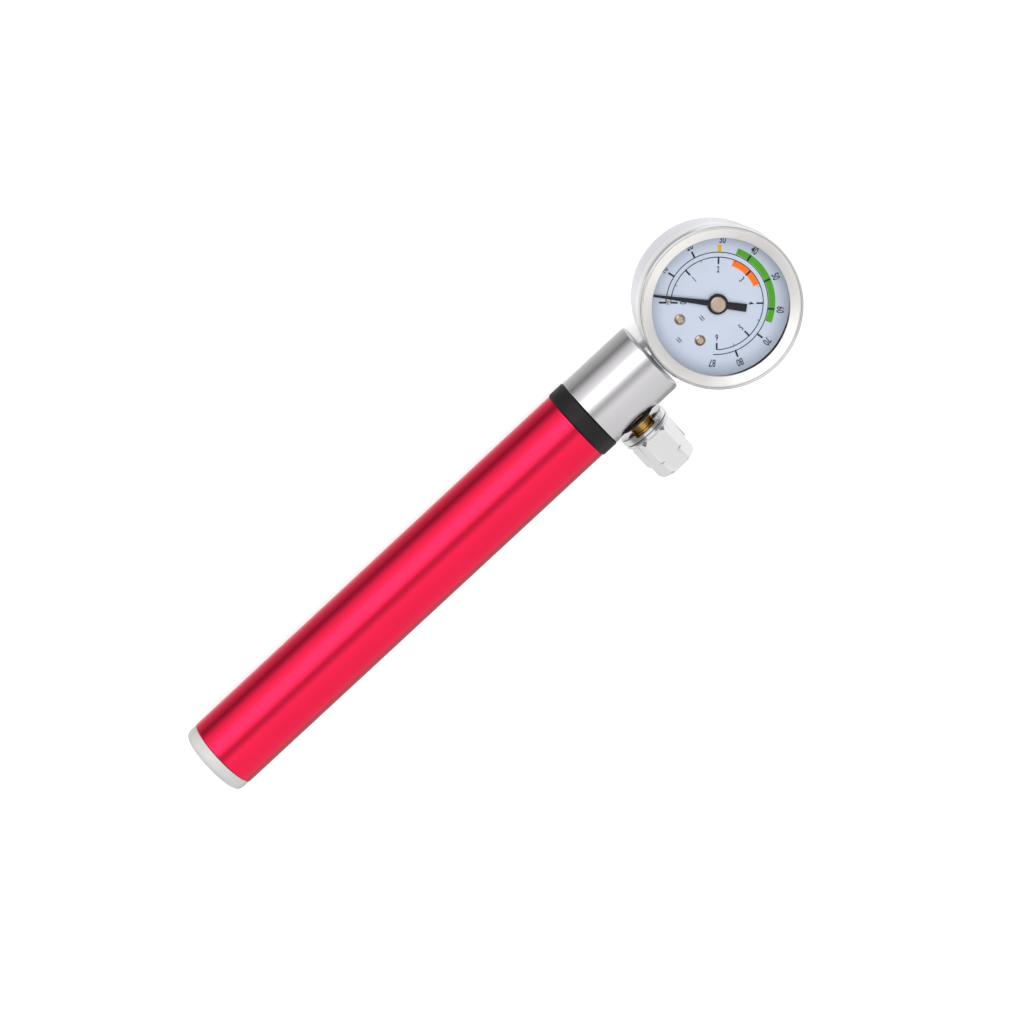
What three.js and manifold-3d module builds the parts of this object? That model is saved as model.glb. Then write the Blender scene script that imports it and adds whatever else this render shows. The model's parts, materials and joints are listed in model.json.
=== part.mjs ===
// Hand pump for balls and small tyres, with a pressure gauge and a screw-on valve chuck.
//
// Units are millimetres. The pump lies on its side: +X runs along the barrel towards the gauge,
// +Z is the way the dial faces, and the chuck points along -Y. Lengths along the barrel are
// measured from the outer face of the end cap, and lengths along the chuck from the barrel axis.
import * as THREE from "three";
import { mergeVertices } from "three/addons/utils/BufferGeometryUtils.js";
import Module from "manifold-3d";

const wasm = await Module();
wasm.setup();

// ---------------------------------------------------------------- driving dimensions
const BARREL_R = 10.5;
const BORE_R = 9;
const CAP_LENGTH = 3.9;
const TUBE_START = 3.95;
const TUBE_END = 132.85;
const COLLAR_R = 10.75;
const COLLAR_END = 137.75;
const HEAD_START = 137.85;
const HEAD_END = 159.9;
const HEAD_R = 10.6;
const ROD_R = 4;
const ROD_START = 25.4;
const ROD_END = 143.3;
const RUNNING_GAP = 0.05; // between a turned part and the bore that it sits in
const CHUCK_X = 145.75;
const GAUGE_X = 181.9;
const BEZEL_R = 21.7;
const BEZEL_FRONT = 15.5;
const CASE_R = 20.7;
const CASE_BACK = -8.5;
const CASE_RIM = 12.3;
const DIAL_TOP = 7.7;
const POINTER_REST = THREE.MathUtils.degToRad(129);
const PITCH_MODULE = 0.25;
const PINION_TEETH = 10;
const SECTOR_TEETH = 60;
const CHUCK_MOUTH = 26.4;
const NIPPLE_R = 3.4;
const SPOT_FACE = 9.6; // depth of the flat on the head that the chuck stands on, from the barrel axis

const LARGE = 32; // facets round a large part
const MEDIUM = 24;
const SMALL = 16;
const TINY = 10;

// ---------------------------------------------------------------- helpers
const AXES = {
  x: (geometry) => geometry.rotateZ(-Math.PI / 2),
  z: (geometry) => geometry.rotateX(Math.PI / 2),
  down: (geometry) => geometry.rotateX(Math.PI),
};

// A turned body from [radius, height] pairs. The profile ends on the axis at both ends or closes on
// itself. The axis is +X for "x", +Z for "z" and -Y for "down".
function turned(axis, facets, profile) {
  const points = profile.map(([radius, height]) => new THREE.Vector2(radius, height));
  if (THREE.ShapeUtils.area(points) < 0) points.reverse();
  if (points[0].x > 0 || points[points.length - 1].x > 0) points.push(points[0].clone());
  return AXES[axis](new THREE.LatheGeometry(points, facets));
}

// A ring or, with no inner radius, a disc, between two heights, with its outer edges eased.
function ring(axis, facets, inner, outer, low, high, ease = 0) {
  const edge = ease > 0
    ? [[outer - ease, low], [outer, low + ease], [outer, high - ease], [outer - ease, high]]
    : [[outer, low], [outer, high]];
  return turned(axis, facets, [[inner, low], ...edge, [inner, high]]);
}

// A plain round peg along +Z, or the hole that such a peg leaves, centred on [x, y].
function peg(radius, low, high, [x, y] = [0, 0]) {
  return ring("z", TINY, 0, radius, low, high).translate(x, y, 0);
}

// A round section of a torus: an O-ring whose cord has the given radius.
function oRing(axis, facets, radius, height, cord) {
  const profile = [];
  for (let i = 0; i < 6; i += 1) {
    const turn = i * Math.PI / 3;
    profile.push([radius + cord * Math.cos(turn), height + cord * Math.sin(turn)]);
  }
  return turned(axis, facets, profile);
}

function plate(outline, low, high) {
  const shape = new THREE.Shape(outline.map(([x, y]) => new THREE.Vector2(x, y)));
  return new THREE.ExtrudeGeometry(shape, { depth: high - low, bevelEnabled: false })
    .translate(0, 0, low);
}

function block(low, high) {
  const [width, depth, height] = high.map((value, i) => value - low[i]);
  return new THREE.BoxGeometry(width, depth, height)
    .translate(low[0] + width / 2, low[1] + depth / 2, low[2] + height / 2);
}

function solidOf(geometry) {
  const bare = geometry.index ? geometry.toNonIndexed() : geometry.clone();
  bare.deleteAttribute("normal");
  bare.deleteAttribute("uv");
  const merged = mergeVertices(bare, 1e-4);
  return new wasm.Manifold(new wasm.Mesh({
    numProp: 3,
    vertProperties: merged.attributes.position.array,
    triVerts: new Uint32Array(merged.index.array),
  }));
}

function geometryOf(solid) {
  const mesh = solid.getMesh();
  const geometry = new THREE.BufferGeometry();
  geometry.setAttribute("position", new THREE.BufferAttribute(mesh.vertProperties, 3));
  geometry.setIndex(new THREE.BufferAttribute(mesh.triVerts, 1));
  geometry.computeVertexNormals();
  return geometry;
}

function cut(body, ...tools) {
  return geometryOf(tools.reduce((left, tool) => left.subtract(solidOf(tool)), solidOf(body)));
}

function join(...bodies) {
  return geometryOf(bodies.map(solidOf).reduce((whole, next) => whole.add(next)));
}

function common(...bodies) {
  return geometryOf(bodies.map(solidOf).reduce((whole, next) => whole.intersect(next)));
}

function surface(color, roughness, metalness) {
  return new THREE.MeshStandardMaterial({ color, roughness, metalness });
}

function part(group, name, geometry, material) {
  const mesh = new THREE.Mesh(geometry, material);
  mesh.name = name;
  group.add(mesh);
  return mesh;
}

function arc(radius, fromDegrees, toDegrees, steps) {
  return Array.from({ length: steps + 1 }, (_, i) => {
    const turn = THREE.MathUtils.degToRad(fromDegrees + (toDegrees - fromDegrees) * i / steps);
    return [radius * Math.cos(turn), radius * Math.sin(turn)];
  });
}

const anodised = surface(0xd81848, 0.3, 0.9);
const aluminium = surface(0xb9b7bd, 0.3, 1);
const steel = surface(0x9a9ca0, 0.35, 1);
const chrome = surface(0xd5d7da, 0.12, 1);
const brass = surface(0xc0923c, 0.3, 1);
const paleBrass = surface(0xcfbfa0, 0.35, 1);
const whitePlastic = surface(0xe2e1de, 0.4, 0);
const blackPlastic = surface(0x222222, 0.5, 0);
const nitrile = surface(0x181818, 0.8, 0);
const dialPaint = surface(0xcddaee, 0.6, 0);
const pointerPaint = surface(0x101012, 0.5, 0);
const clear = new THREE.MeshStandardMaterial({
  color: 0xf4f8fa, roughness: 0.05, metalness: 0, transparent: true, opacity: 0.3,
});

// The object's base is the underside of the collar, and its reference point is the middle of the
// bounding box's base.
const pump = new THREE.Group();
pump.position.set(-(GAUGE_X + BEZEL_R) / 2, (CHUCK_MOUTH - BEZEL_R) / 2, COLLAR_R);

// ---------------------------------------------------------------- handle: barrel, cap and collar
function addHandle() {
  part(pump, "handle_tube", turned("x", LARGE, [
    [BORE_R, TUBE_START + 0.3], [BORE_R + 0.3, TUBE_START], [BARREL_R - 0.25, TUBE_START],
    [BARREL_R, TUBE_START + 0.25], [BARREL_R, TUBE_END - 0.2], [BARREL_R - 0.2, TUBE_END],
    [BORE_R, TUBE_END],
  ]), anodised);

  const plugR = BORE_R - 0.08;
  const grooveR = 7.6;
  const rim = 2.2; // radius of the cap's rounded edge
  const rimCentre = BARREL_R - 0.1 - rim;
  const dome = [0, 22.5, 45, 67.5, 90].map((degrees) => {
    const turn = THREE.MathUtils.degToRad(degrees);
    return [rimCentre + rim * Math.sin(turn), rim - rim * Math.cos(turn)];
  });
  part(pump, "end_cap", turned("x", LARGE, [
    [0, 0], ...dome, [BARREL_R - 0.1, CAP_LENGTH], [plugR, CAP_LENGTH], [plugR, 8.3],
    [grooveR, 8.3], [grooveR, 10.1], [plugR, 10.1], [plugR, 12.7], [plugR - 0.3, 13], [0, 13],
  ]), whitePlastic);
  part(pump, "cap_seal", oRing("x", LARGE, 8.28, 9.2, 0.66), nitrile);

  const bushBore = 6.6;
  const spigotStart = 124.5;
  const bushEnd = 133.5;
  const wiperEnd = 136.3;
  const clipGroove = [spigotStart + 0.55, spigotStart + 1.3];
  const shoulder = TUBE_END + 0.07;
  part(pump, "end_collar", turned("x", LARGE, [
    [bushBore, spigotStart], [8.6, spigotStart], [BORE_R - 0.08, spigotStart + 0.4],
    [BORE_R - 0.08, shoulder], [COLLAR_R - 0.35, shoulder], [COLLAR_R, shoulder + 0.35],
    [COLLAR_R, COLLAR_END - 0.45], [COLLAR_R - 0.45, COLLAR_END], [4.5, COLLAR_END], [4.5, wiperEnd],
    [5.6, wiperEnd], [5.6, bushEnd], [bushBore, bushEnd], [bushBore, clipGroove[1]],
    [7.1, clipGroove[1]], [7.1, clipGroove[0]], [bushBore, clipGroove[0]],
  ]), blackPlastic);
  part(pump, "bush_clip", ring("x", MEDIUM, 5, 6.95, clipGroove[0] + 0.05, clipGroove[1] - 0.05), steel);
  part(pump, "wiper_seal", turned("x", MEDIUM, [
    [4.5, bushEnd + 0.2], [5.5, bushEnd + 0.2], [5.5, wiperEnd - 0.1], [5.1, wiperEnd - 0.1],
    [4.75, wiperEnd - 1.4], [4.2, wiperEnd - 0.2], [4.12, wiperEnd - 0.7],
  ]), nitrile);
  const bush = ring("x", MEDIUM, ROD_R + 0.1, bushBore - 0.12, clipGroove[1] + 0.1, bushEnd - 0.1, 0.3);
  part(pump, "guide_bush", bush, whitePlastic);
}

// ---------------------------------------------------------------- piston, rod and check valve
function addPiston() {
  part(pump, "piston_rod", turned("x", MEDIUM, [
    [1, ROD_START], [ROD_R - 0.3, ROD_START], [ROD_R, ROD_START + 0.3], [ROD_R, ROD_END - 0.3],
    [ROD_R - 0.3, ROD_END], [1.8, ROD_END], [1.8, 31], [1, 30],
  ]), steel);
  part(pump, "piston", turned("x", LARGE, [
    [3.1, 16.05], [8.3, 16.05], [8.6, 16.35], [8.6, 19.4], [6.6, 19.4], [6.6, 22.6], [8.6, 22.6],
    [8.6, 25.7], [8.3, 26], [6, 26], [6, 30], [ROD_R + RUNNING_GAP, 30],
    [ROD_R + RUNNING_GAP, ROD_START - 0.1], [2.1, ROD_START - 0.1], [2.1, 19.25], [3.1, 19.25],
  ]), blackPlastic);
  part(pump, "piston_ring", oRing("x", LARGE, 7.82, 21, 1.1), nitrile);
  const nose = turned("x", SMALL, [
    [0.8, 14.5], [3.9, 14.5], [4.2, 14.8], [4.2, 16], [3, 16], [3, 19.1], [1.95, 19.1], [0.8, 17.8],
  ]);
  part(pump, "piston_nose", cut(nose, block([14, -5, -0.5], [15, 5, 0.5])), brass);
  const ball = new THREE.SphereGeometry(1.5, TINY, 8).rotateZ(-Math.PI / 2).translate(19.32, 0, 0);
  part(pump, "check_ball", ball, steel);

  const wire = 0.16;
  const springR = 1.25;
  const low = 20.62;
  const high = ROD_START - 0.3;
  const turns = 4;
  const steps = turns * 10;
  const coil = new THREE.CatmullRomCurve3(Array.from({ length: steps + 1 }, (_, i) => {
    const turn = i / steps * turns * 2 * Math.PI;
    return new THREE.Vector3(
      low + (high - low) * i / steps, springR * Math.cos(turn), springR * Math.sin(turn),
    );
  }));
  const section = new THREE.Shape(arc(wire, 0, 300, 5).map(([x, y]) => new THREE.Vector2(x, y)));
  const spring = new THREE.ExtrudeGeometry(section, { steps, extrudePath: coil, bevelEnabled: false });
  part(pump, "check_spring", spring, steel);

  part(pump, "rod_bumper", ring("x", MEDIUM, ROD_R + RUNNING_GAP, 6.2, 30.05, 32.6, 0.5), nitrile);
  part(pump, "rod_seal", oRing("x", MEDIUM, 3, 143.95, 0.6), nitrile);
}

// ---------------------------------------------------------------- head
function addHead() {
  const corner = 1.3;
  const rounded = [0, 30, 60, 90].map((degrees) => {
    const turn = THREE.MathUtils.degToRad(degrees);
    return [HEAD_R - corner + corner * Math.cos(turn), HEAD_END - corner + corner * Math.sin(turn)];
  });
  const body = turned("x", LARGE, [
    [0, HEAD_START], [HEAD_R - 0.2, HEAD_START], [HEAD_R, HEAD_START + 0.2], ...rounded, [0, HEAD_END],
  ]);
  const outside = 1; // how far a cutter runs past the surface that it opens
  const bore = (facets, radius, low, high) => ring("x", facets, 0, radius, low, high);
  const rodBore = bore(MEDIUM, ROD_R + RUNNING_GAP, HEAD_START - outside, ROD_END + 1.3);
  const passage = bore(TINY, 1.4, ROD_END + 0.7, 152);
  const gaugeBore = bore(MEDIUM, 5, 151, HEAD_END + outside);
  const portBore = ring("down", SMALL, 0, NIPPLE_R + RUNNING_GAP, 3.4, HEAD_R + outside);
  const portPassage = ring("down", TINY, 0, 1.2, 0, 4);
  const spotFace = ring("down", MEDIUM, 0, 7.7, SPOT_FACE, HEAD_R + outside);
  for (const tool of [portBore, portPassage, spotFace]) tool.translate(CHUCK_X, 0, 0);
  const bored = cut(body, rodBore, passage, gaugeBore, portBore, portPassage, spotFace);
  part(pump, "head_body", bored, aluminium);
  part(pump, "gauge_seal", ring("x", MEDIUM, 2.2, 4.85, 151.1, 152.3), nitrile);
}

// ---------------------------------------------------------------- valve chuck, pointing along -Y
function addChuck() {
  const chuck = new THREE.Group();
  chuck.position.x = CHUCK_X;
  pump.add(chuck);

  const nipple = turned("down", SMALL, [
    [1, 4.3], [NIPPLE_R, 4.3], [NIPPLE_R, SPOT_FACE + 0.4], [NIPPLE_R - 0.1, SPOT_FACE + 0.4],
    [NIPPLE_R - 0.1, 16.2], [4.8, 16.2], [4.8, 17.7], [4, 18.1], [1.9, 18.1], [1.9, 17], [1, 17],
  ]);
  part(chuck, "chuck_nipple", nipple, brass);
  const seal = ring("down", SMALL, NIPPLE_R, 5.2, SPOT_FACE + 0.1, SPOT_FACE + 0.7, 0.2);
  part(chuck, "nipple_seal", seal, nitrile);

  const collar = turned("down", MEDIUM, [
    [3.55, 11.4], [6.7, 11.4], [7, 11.7], [7, 13.3], [6.8, 13.5], [5.2, 13.5], [5.2, 16],
    [3.55, 16],
  ]);
  const slot = block([-3.2, -12.5, -8], [3.2, -11, 8]);
  part(chuck, "chuck_collar", cut(collar, slot), chrome);

  const hexTurn = THREE.MathUtils.degToRad(2.5);
  const hexagon = (radius, low, high) => new THREE.CylinderGeometry(radius, radius, high - low, 6)
    .rotateY(Math.PI / 2 + hexTurn)
    .translate(0, -(low + high) / 2, 0);
  const nutR = 6.7; // over the corners
  const tipR = 6.1;
  const step = 22.35;
  const rounding = turned("down", MEDIUM, [
    [0, 14.9], [5.9, 14.9], [nutR, 16.1], [nutR, 21.6], [6.2, step], [0, step],
  ]);
  const tip = turned("down", MEDIUM, [
    [0, 22], [tipR, 22], [tipR, 25.7], [5.5, CHUCK_MOUTH], [0, CHUCK_MOUTH],
  ]);
  const skirt = turned("down", MEDIUM, [
    [0, 13.65], [6.8, 13.65], [6.95, 13.8], [6.95, 14.3], [5.9, 15.3], [0, 15.3],
  ]);
  const nut = join(
    skirt,
    common(hexagon(nutR, 14.8, step + 0.05), rounding),
    common(hexagon(tipR, 22, CHUCK_MOUTH + 0.6), tip),
  );
  const bore = turned("down", MEDIUM, [
    [0, 13], [5.3, 13], [5.3, 16.1], [5, 16.1], [5, 18.2], [4.35, 18.2], [4.35, 20.3], [3.95, 20.3],
    [3.95, 25.9], [4.4, 27], [0, 27],
  ]);
  part(chuck, "chuck_nut", cut(nut, bore), chrome);
  part(chuck, "valve_gasket", ring("down", SMALL, 1.7, 4.25, 18.3, 20.2), nitrile);
  part(chuck, "valve_pin", turned("down", TINY, [
    [0, 14.4], [0.6, 14.4], [0.6, 17.15], [1.6, 17.15], [1.6, 17.75], [0.7, 17.75], [0.7, 21.4], [0, 21.4],
  ]), brass);
}

// ---------------------------------------------------------------- gauge
const gauge = new THREE.Group();
gauge.position.x = GAUGE_X;
pump.add(gauge);

const DIAL_SCREWS = [-159.8, 157.2].map((fromTop) => {
  const turn = THREE.MathUtils.degToRad(-fromTop);
  return [10.6 * Math.cos(turn), 10.6 * Math.sin(turn)];
});
const CASE_SCREWS = [[-15.2, 2.6], [-15.2, -2.6]];
const MOVEMENT_SCREWS = [[-10.9, 2.6], [-10.9, -2.6]];
const STEM_START = 152.4 - GAUGE_X;
const STEM_R = 4.85;
const SOCKET = { start: -17.9, ledge: -13, end: -9.2, half: 4.5, low: -7.5, step: -1.8, high: 4 };

function addGaugeShell() {
  const wall = 0.7;
  const cup = turned("z", LARGE, [
    [0, CASE_BACK], [CASE_R - 1.6, CASE_BACK], [CASE_R - 0.45, CASE_BACK + 0.45],
    [CASE_R, CASE_BACK + 1.6], [CASE_R, CASE_RIM], [CASE_R - wall, CASE_RIM],
    [CASE_R - wall, CASE_BACK + 1.8], [CASE_R - 1.8, CASE_BACK + wall], [0, CASE_BACK + wall],
  ]);
  const stemHole = ring("x", MEDIUM, 0, STEM_R + 0.25, -22, -18);
  const screwHoles = CASE_SCREWS.map((place) => peg(1.15, CASE_BACK - 0.5, CASE_BACK + 1.5, place));
  part(gauge, "gauge_case", cut(cup, stemHole, ...screwHoles), steel);

  // The rubber ring, the window and the bezel's lip lie on the case's rim in that order.
  const windowR = CASE_R - 0.1;
  const windowLow = CASE_RIM + 0.65;
  const windowHigh = windowLow + 1.1;
  const lip = windowHigh + 0.07;
  const gasket = ring("z", LARGE, windowR - 1.15, windowR, CASE_RIM + 0.05, windowLow - 0.05);
  part(gauge, "window_gasket", gasket, nitrile);
  part(gauge, "gauge_window", ring("z", LARGE, 0, windowR, windowLow, windowHigh), clear);

  const skirt = 8.9;
  const inside = CASE_R + 0.1;
  const openingR = 18.1;
  part(gauge, "gauge_bezel", turned("z", LARGE, [
    [inside, skirt], [BEZEL_R - 0.15, skirt], [BEZEL_R, skirt + 0.3], [BEZEL_R, 14.1],
    [BEZEL_R - 0.12, 14.9], [BEZEL_R - 0.4, 15.35], [BEZEL_R - 0.75, BEZEL_FRONT],
    [BEZEL_R - 1.05, 15.4], [openingR + 0.05, lip + 0.33], [openingR, lip], [inside, lip],
  ]), chrome);

  const disc = ring("z", LARGE, 0, 19.2, DIAL_TOP - 0.4, DIAL_TOP);
  const holes = [
    peg(1.6, 7, 8),
    ...DIAL_SCREWS.map((place) => peg(0.9, 7, 8, place)),
    peg(0.5, 7, 8, stopPlace()),
  ];
  part(gauge, "dial_plate", cut(disc, ...holes), dialPaint);
  DIAL_SCREWS.forEach(([x, y], i) => {
    const screw = turned("z", SMALL, [
      [0, 5.4], [0.75, 5.4], [0.75, DIAL_TOP + 0.05], [1.45, DIAL_TOP + 0.05], [1.4, 8.2],
      [0.9, 8.5], [0, 8.55],
    ]);
    const driver = block([-0.9, -0.17, 8.2], [0.9, 0.17, 9]);
    const crossed = block([-0.17, -0.9, 8.2], [0.17, 0.9, 9]);
    part(gauge, `dial_screw_${i + 1}`, cut(screw, driver, crossed), paleBrass).position.set(x, y, 0);
  });
  part(gauge, "stop_pin", peg(0.42, 6.3, 8.6, stopPlace()), paleBrass);
}

// The pin that the pointer rests beside at zero.
function stopPlace() {
  const turn = POINTER_REST + THREE.MathUtils.degToRad(6.5);
  return [12.9 * Math.cos(turn), 12.9 * Math.sin(turn)];
}

function addSocket() {
  const { start, ledge, end, half, low, step, high } = SOCKET;
  const stem = turned("x", MEDIUM, [
    [1.2, STEM_START], [STEM_R - 0.35, STEM_START], [STEM_R, STEM_START + 0.4],
    [STEM_R, start + 0.2], [1.2, start + 0.2],
  ]);
  const solid = join(
    stem,
    block([start, -half, low], [ledge, half, high]),
    block([ledge - 0.5, -half, low], [end, half, step]),
  );
  const feed = ring("x", TINY, 0, 1.2, start - 2, -14.6);
  const side = ring("x", TINY, 0, 0.9, 0, 6).rotateZ(Math.PI / 2).translate(-15.2, 0, 0);
  const caseTaps = CASE_SCREWS.map((place) => peg(1.1, low - 0.5, low + 2.5, place));
  const ledgeTaps = MOVEMENT_SCREWS.map((place) => peg(0.8, -4.2, -1, place));
  part(gauge, "gauge_socket", cut(solid, feed, side, ...caseTaps, ...ledgeTaps), steel);

  CASE_SCREWS.forEach(([x, y], i) => {
    const screw = turned("z", SMALL, [
      [0, -9.6], [1.5, -9.6], [2.1, -9.2], [2.1, -8.55], [1, -8.55], [1, -5.3], [0, -5.3],
    ]);
    const driver = block([-1.3, -0.22, -10], [1.3, 0.22, -9.2]);
    part(gauge, `case_screw_${i + 1}`, cut(screw, driver), steel).position.set(x, y, 0);
  });
}

// ---------------------------------------------------------------- gauge movement
const PINION_PITCH_R = PITCH_MODULE * PINION_TEETH / 2;
const SECTOR_PITCH_R = PITCH_MODULE * SECTOR_TEETH / 2;
const SECTOR_DIRECTION = THREE.MathUtils.degToRad(-112);
const SECTOR_PIVOT = [
  (PINION_PITCH_R + SECTOR_PITCH_R) * Math.cos(SECTOR_DIRECTION),
  (PINION_PITCH_R + SECTOR_PITCH_R) * Math.sin(SECTOR_DIRECTION),
];
const POSTS = [[5.5, -8.5], [-3, 5.5], [8, 3]];
const PLATE_LOW = -1.7;
const PLATE_HIGH = 4.7;
const PLATE_THICK = 0.6;

// The outline of a run of teeth on a pitch circle, from the first tooth's centre angle.
function teeth(pitchR, count, spacing, first) {
  const outline = [];
  const addendum = 0.21;
  const dedendum = 0.32;
  for (let i = 0; i < count; i += 1) {
    const middle = first + i * spacing;
    const corners = [
      [pitchR - dedendum, -0.2], [pitchR + addendum, -0.07],
      [pitchR + addendum, 0.07], [pitchR - dedendum, 0.2],
    ];
    for (const [radius, across] of corners) {
      const turn = middle + across / radius;
      outline.push([radius * Math.cos(turn), radius * Math.sin(turn)]);
    }
  }
  return outline;
}

function movementPlate(low, holes) {
  const outline = [
    [-12.6, -4.2], [-12.6, 4.2], [-4.5, 7.4], [9.6, 5], [9.6, 0.5], [7.2, -10.2], [-7, -10.6], [-8.6, -4.2],
  ];
  const sheet = plate(outline, low, low + PLATE_THICK);
  return cut(sheet, ...holes.map(([x, y, radius]) => peg(radius, low - 1, low + 2, [x, y])));
}

function addMovement() {
  const arborHoles = [[0, 0, 0.55], [...SECTOR_PIVOT, 0.65]];
  const ledgeHoles = MOVEMENT_SCREWS.map(([x, y]) => [x, y, 0.85]);
  part(gauge, "movement_back_plate", movementPlate(PLATE_LOW, [...arborHoles, ...ledgeHoles]), brass);
  const socketRoom = block([-20, -5, 4], [-12.7, 5, 5]);
  const bosses = DIAL_SCREWS.map((place) => peg(1.5, PLATE_HIGH, DIAL_TOP - 0.45, place));
  const taps = DIAL_SCREWS.map((place) => peg(0.8, 5.3, 8, place));
  const trimmed = cut(movementPlate(PLATE_HIGH, arborHoles), socketRoom);
  part(gauge, "movement_front_plate", cut(join(trimmed, ...bosses), ...taps), brass);
  POSTS.forEach((place, i) => {
    const post = peg(0.8, PLATE_LOW + PLATE_THICK + 0.03, PLATE_HIGH - 0.03, place);
    part(gauge, `movement_post_${i + 1}`, post, brass);
  });
  MOVEMENT_SCREWS.forEach(([x, y], i) => {
    const screw = turned("z", TINY, [
      [0, -4], [0.7, -4], [0.7, -1.05], [1.3, -1.05], [1.3, -0.4], [0, -0.4],
    ]);
    part(gauge, `movement_screw_${i + 1}`, screw, steel).position.set(x, y, 0);
  });

  const pinionSpacing = 2 * Math.PI / PINION_TEETH;
  const pinionTeeth = teeth(PINION_PITCH_R, PINION_TEETH, pinionSpacing, SECTOR_DIRECTION);
  const pinion = join(plate(pinionTeeth, 1.3, 2.9), peg(0.5, PLATE_LOW - 0.3, 9));
  part(gauge, "pinion", pinion, brass);

  const sector = new THREE.Group();
  sector.position.set(...SECTOR_PIVOT, 0);
  gauge.add(sector);
  const pitch = 2 * Math.PI / SECTOR_TEETH;
  const count = 11;
  const first = SECTOR_DIRECTION + Math.PI - 8.5 * pitch;
  const blank = [[0, 0], ...teeth(SECTOR_PITCH_R, count, pitch, first)];
  const along = (share) => THREE.MathUtils.radToDeg(first + share * (count - 1) * pitch);
  const window = plate([
    ...arc(5.95, along(0.12), along(0.88), 3), ...arc(3, along(0.75), along(0.25), 1),
  ], 1, 3);
  const tailTurn = first + 5 * pitch + Math.PI;
  const tail = block([-1, -0.8, 1.7], [4.6, 0.8, 2.5]).rotateZ(tailTurn);
  const hub = ring("z", SMALL, 0, 1.5, 1.5, 2.7);
  const wheel = cut(join(plate(blank, 1.7, 2.5), hub, tail), window, peg(0.62, 0, 4));
  part(sector, "sector_gear", wheel, brass);
  part(sector, "sector_arbor", peg(0.6, PLATE_LOW - 0.2, PLATE_HIGH + PLATE_THICK + 0.2), steel);
  return tailTurn;
}

function addBourdon(tailTurn) {
  const radius = 15.1;
  const startTurn = 161;
  const endTurn = -112;
  const outer = turned("z", 40, [
    [radius - 0.8, -2.2], [radius - 0.3, -3], [radius + 0.3, -3], [radius + 0.8, -2.2],
    [radius + 0.8, 2.2], [radius + 0.3, 3], [radius - 0.3, 3], [radius - 0.8, 2.2],
  ]);
  const inner = turned("z", 40, [
    [radius - 0.4, -2.2], [radius + 0.4, -2.2], [radius + 0.4, 2.2], [radius - 0.4, 2.2],
  ]);
  const gap = plate([[0, 0], ...arc(24, startTurn, endTurn + 360, 6)], -5, 5);
  part(gauge, "bourdon_tube", cut(outer, inner, gap), brass);

  const tipAt = (turn, from, to) => {
    const low = arc(from, turn, turn - 7, 1);
    const high = arc(to, turn, turn - 7, 1);
    return [low[0], high[0], high[1], low[1]];
  };
  part(gauge, "bourdon_tip", plate(tipAt(endTurn - 0.4, radius - 1.4, radius + 1), -2.6, 2.6), brass);

  const tailPin = [
    SECTOR_PIVOT[0] + 3.9 * Math.cos(tailTurn),
    SECTOR_PIVOT[1] + 3.9 * Math.sin(tailTurn),
  ];
  const tipPin = arc(radius, endTurn - 4, endTurn - 4, 1)[0];
  const span = Math.hypot(tipPin[0] - tailPin[0], tipPin[1] - tailPin[1]);
  const direction = Math.atan2(tipPin[1] - tailPin[1], tipPin[0] - tailPin[0]);
  const bar = join(
    block([0, -0.45, 3.2], [span, 0.45, 3.5]),
    peg(0.8, 2.55, 3.6),
    peg(0.8, 3.15, 3.6, [span, 0]),
  );
  const link = part(gauge, "link", bar, brass);
  link.position.set(...tailPin, 0);
  link.rotation.z = direction;
}

function addHairspring() {
  const turns = 3;
  const steps = turns * 16;
  const inner = [];
  const outer = [];
  for (let i = 0; i <= steps; i += 1) {
    const turn = i / steps * turns * 2 * Math.PI;
    const radius = 0.75 + 1.9 * i / steps;
    inner.push([radius * Math.cos(turn), radius * Math.sin(turn)]);
    outer.push([(radius + 0.1) * Math.cos(turn), (radius + 0.1) * Math.sin(turn)]);
  }
  part(gauge, "hairspring", plate([...inner, ...outer.reverse()], 3.5, 3.9), paleBrass);
}

function addPointer() {
  const pointer = new THREE.Group();
  pointer.rotation.z = POINTER_REST;
  gauge.add(pointer);
  const blade = plate([
    [-7.7, -1.05], [-2, -0.8], [0, -0.8], [2.3, -0.65], [17.3, -0.22], [17.3, 0.22], [2.3, 0.65], [0, 0.8],
    [-2, 0.8], [-7.7, 1.05],
  ], 8.75, 9.05);
  const hub = ring("z", MEDIUM, 0, 2.75, 8.75, 9.1);
  part(pointer, "pointer", cut(join(blade, hub), peg(0.55, 8, 10)), pointerPaint);
  const boss = turned("z", SMALL, [[0, 9.15], [2.05, 9.15], [2.05, 9.5], [1.8, 9.7], [0, 9.75]]);
  part(pointer, "pointer_boss", boss, paleBrass);
}

addHandle();
addPiston();
addHead();
addChuck();
addGaugeShell();
addSocket();
addBourdon(addMovement());
addHairspring();
addPointer();

export default pump;
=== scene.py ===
"""Looks for a ball inflation pump: a crimson barrel, a turned aluminium head, a round dial gauge
and a plated valve chuck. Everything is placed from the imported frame; lengths in the outlines are
millimetres, and MM turns them into Blender's metres."""

import json
import math

import bmesh
import bpy
from mathutils import Matrix, Vector


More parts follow.
